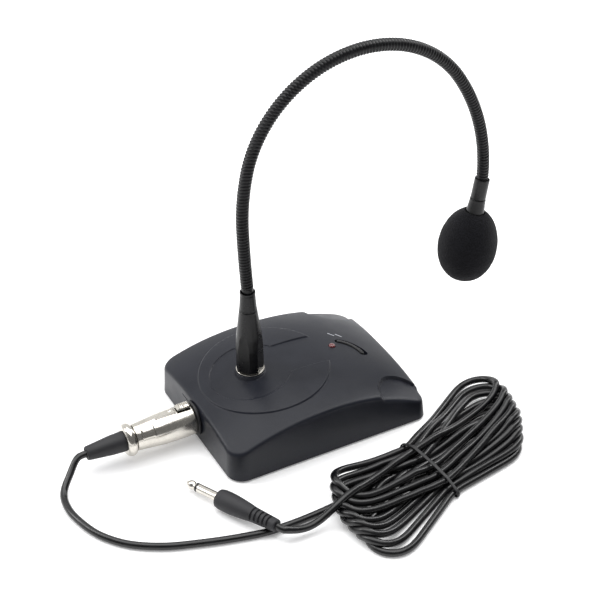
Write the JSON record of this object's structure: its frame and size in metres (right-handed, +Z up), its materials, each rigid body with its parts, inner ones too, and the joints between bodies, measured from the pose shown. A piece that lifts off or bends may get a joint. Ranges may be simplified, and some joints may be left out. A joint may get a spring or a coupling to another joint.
{
  "type": "gooseneck podium microphone",
  "caption": "Desk microphone: foam-covered capsule on a bendable neck over a weighted base with a slide switch and lamp; a coiled, tied lead joins the rear socket to a jack plug.",
  "frame": {"origin": "on the table under the middle of the standing microphone, without its lead", "axes": "+X from the rear socket towards the speaker, the way the neck leans out; +Y across the base, away from the coiled lead; +Z up"},
  "size_m": [0.3488, 0.2379, 0.2692],
  "materials": {
    "base_shell": "charcoal grey, fine moulded texture, satin",
    "black_plastic": "black, fine texture",
    "black_metal": "black semi-gloss coating",
    "neck_black": "black, satin, ribbed hose",
    "nickel": "nickel plate, bright",
    "steel": "zinc-plated steel",
    "foam": "open-cell acoustic foam, matt black",
    "rubber": "matt black rubber",
    "lead_skin": "black, semi-gloss cable jacket",
    "red_lens": "dark red translucent lens, unlit",
    "board": "green solder mask",
    "cell_wrap": "printed film wrap"
  },
  "bodies": {
    "base": {"base_top_cover": "base_shell", "base_bottom_cover": "black_plastic", "ballast_plate": "steel", "circuit_board": "board", "switch_body": "black_plastic", "led": "red_lens", "xlr_socket_shell": "black_plastic", "xlr_socket_insert": "black_plastic", "neck_stud": "steel", "neck_nut": "steel", "neck_washer": "nickel", "neck_collar": "black_metal", "lower_ferrule": "black_metal", "rubber_foot_1": "rubber", "cover_screw_1": "steel", "rubber_foot_2": "rubber", "cover_screw_2": "steel", "rubber_foot_3": "rubber", "cover_screw_3": "steel", "rubber_foot_4": "rubber", "cover_screw_4": "steel", "battery_1": "cell_wrap", "battery_contact_1": "nickel", "battery_2": "cell_wrap", "battery_contact_2": "nickel", "xlr_pin_1": "nickel", "xlr_pin_2": "nickel", "xlr_pin_3": "nickel"},
    "battery_door": {"battery_door": "black_plastic"},
    "switch": {"switch_slider": "black_plastic"},
    "neck_01": {"neck_segment_01": "neck_black"},
    "neck_02": {"neck_segment_02": "neck_black"},
    "neck_03": {"neck_segment_03": "neck_black"},
    "neck_04": {"neck_segment_04": "neck_black"},
    "neck_05": {"neck_segment_05": "neck_black"},
    "neck_06": {"neck_segment_06": "neck_black"},
    "neck_07": {"neck_segment_07": "neck_black"},
    "neck_08": {"neck_segment_08": "neck_black"},
    "neck_09": {"neck_segment_09": "neck_black"},
    "neck_10": {"neck_segment_10": "neck_black", "upper_ferrule": "black_metal", "capsule_collar": "black_metal", "mic_capsule": "black_metal", "capsule_grille": "steel"},
    "windscreen": {"windscreen": "foam"},
    "lead": {"xlr_plug_shell": "nickel", "xlr_plug_insert": "black_plastic", "xlr_end_ring": "nickel", "xlr_boot": "rubber", "lead_plug_run": "lead_skin", "lead_jack_run": "lead_skin", "lead_hank": "lead_skin", "twist_tie": "black_plastic", "jack_tip": "nickel", "jack_ring": "black_plastic", "jack_sleeve": "nickel", "jack_handle": "rubber"},
    "latch": {"xlr_latch": "nickel"}
  },
  "joints": [
    {"name": "battery_door_slide", "type": "slide", "parent": "base", "child": "battery_door", "axis": [1, 0, 0], "range_m": [0, 0.003]},
    {"name": "switch_slide", "type": "slide", "parent": "base", "child": "switch", "axis": [1, 0, 0], "range_m": [0, 0.002]},
    {"name": "neck_bend_01", "type": "hinge", "parent": "base", "child": "neck_01", "pos_m": [-0.07544, 0, 0.1085], "axis": [0, 1, 0], "range_deg": [-20, 5]},
    {"name": "neck_bend_02", "type": "hinge", "parent": "neck_01", "child": "neck_02", "pos_m": [-0.07722, 0, 0.14684], "axis": [0.9997, 0, 0.0264], "range_deg": [-20, 20]},
    {"name": "neck_bend_03", "type": "hinge", "parent": "neck_02", "child": "neck_03", "pos_m": [-0.07537, 0, 0.18511], "axis": [0, 1, 0], "range_deg": [-20, 5]},
    {"name": "neck_bend_04", "type": "hinge", "parent": "neck_03", "child": "neck_04", "pos_m": [-0.06353, 0, 0.22136], "axis": [0.8658, 0, -0.5004], "range_deg": [-20, 20]},
    {"name": "neck_bend_05", "type": "hinge", "parent": "neck_04", "child": "neck_05", "pos_m": [-0.03776, 0, 0.24939], "axis": [0, 1, 0], "range_deg": [-20, 8]},
    {"name": "neck_bend_06", "type": "hinge", "parent": "neck_05", "child": "neck_06", "pos_m": [-0.00252, 0, 0.26381], "axis": [0.1682, 0, -0.9858], "range_deg": [-20, 20]},
    {"name": "neck_bend_07", "type": "hinge", "parent": "neck_06", "child": "neck_07", "pos_m": [0.0355, 0, 0.26188], "axis": [0, 1, 0], "range_deg": [-20, 12]},
    {"name": "neck_bend_08", "type": "hinge", "parent": "neck_07", "child": "neck_08", "pos_m": [0.0691, 0, 0.24399], "axis": [-0.6509, 0, -0.7591], "range_deg": [-20, 20]},
    {"name": "neck_bend_09", "type": "hinge", "parent": "neck_08", "child": "neck_09", "pos_m": [0.09234, 0, 0.21374], "axis": [0, 1, 0], "range_deg": [-20, 15]},
    {"name": "neck_bend_10", "type": "hinge", "parent": "neck_09", "child": "neck_10", "pos_m": [0.10558, 0, 0.17784], "axis": [-0.9762, 0, -0.2171], "range_deg": [-20, 20]},
    {"name": "windscreen_pull", "type": "slide", "parent": "neck_10", "child": "windscreen", "axis": [0.1727, 0, 0.985], "range_m": [-0.034, 0]},
    {"name": "lead_unplug", "type": "slide", "parent": "base", "child": "lead", "axis": [-1, 0, 0], "range_m": [0, 0.018]},
    {"name": "latch_press", "type": "slide", "parent": "lead", "child": "latch", "axis": [0, 0, -1], "range_m": [0, 0.001], "stiffness_N_per_m": 800}
  ]
}
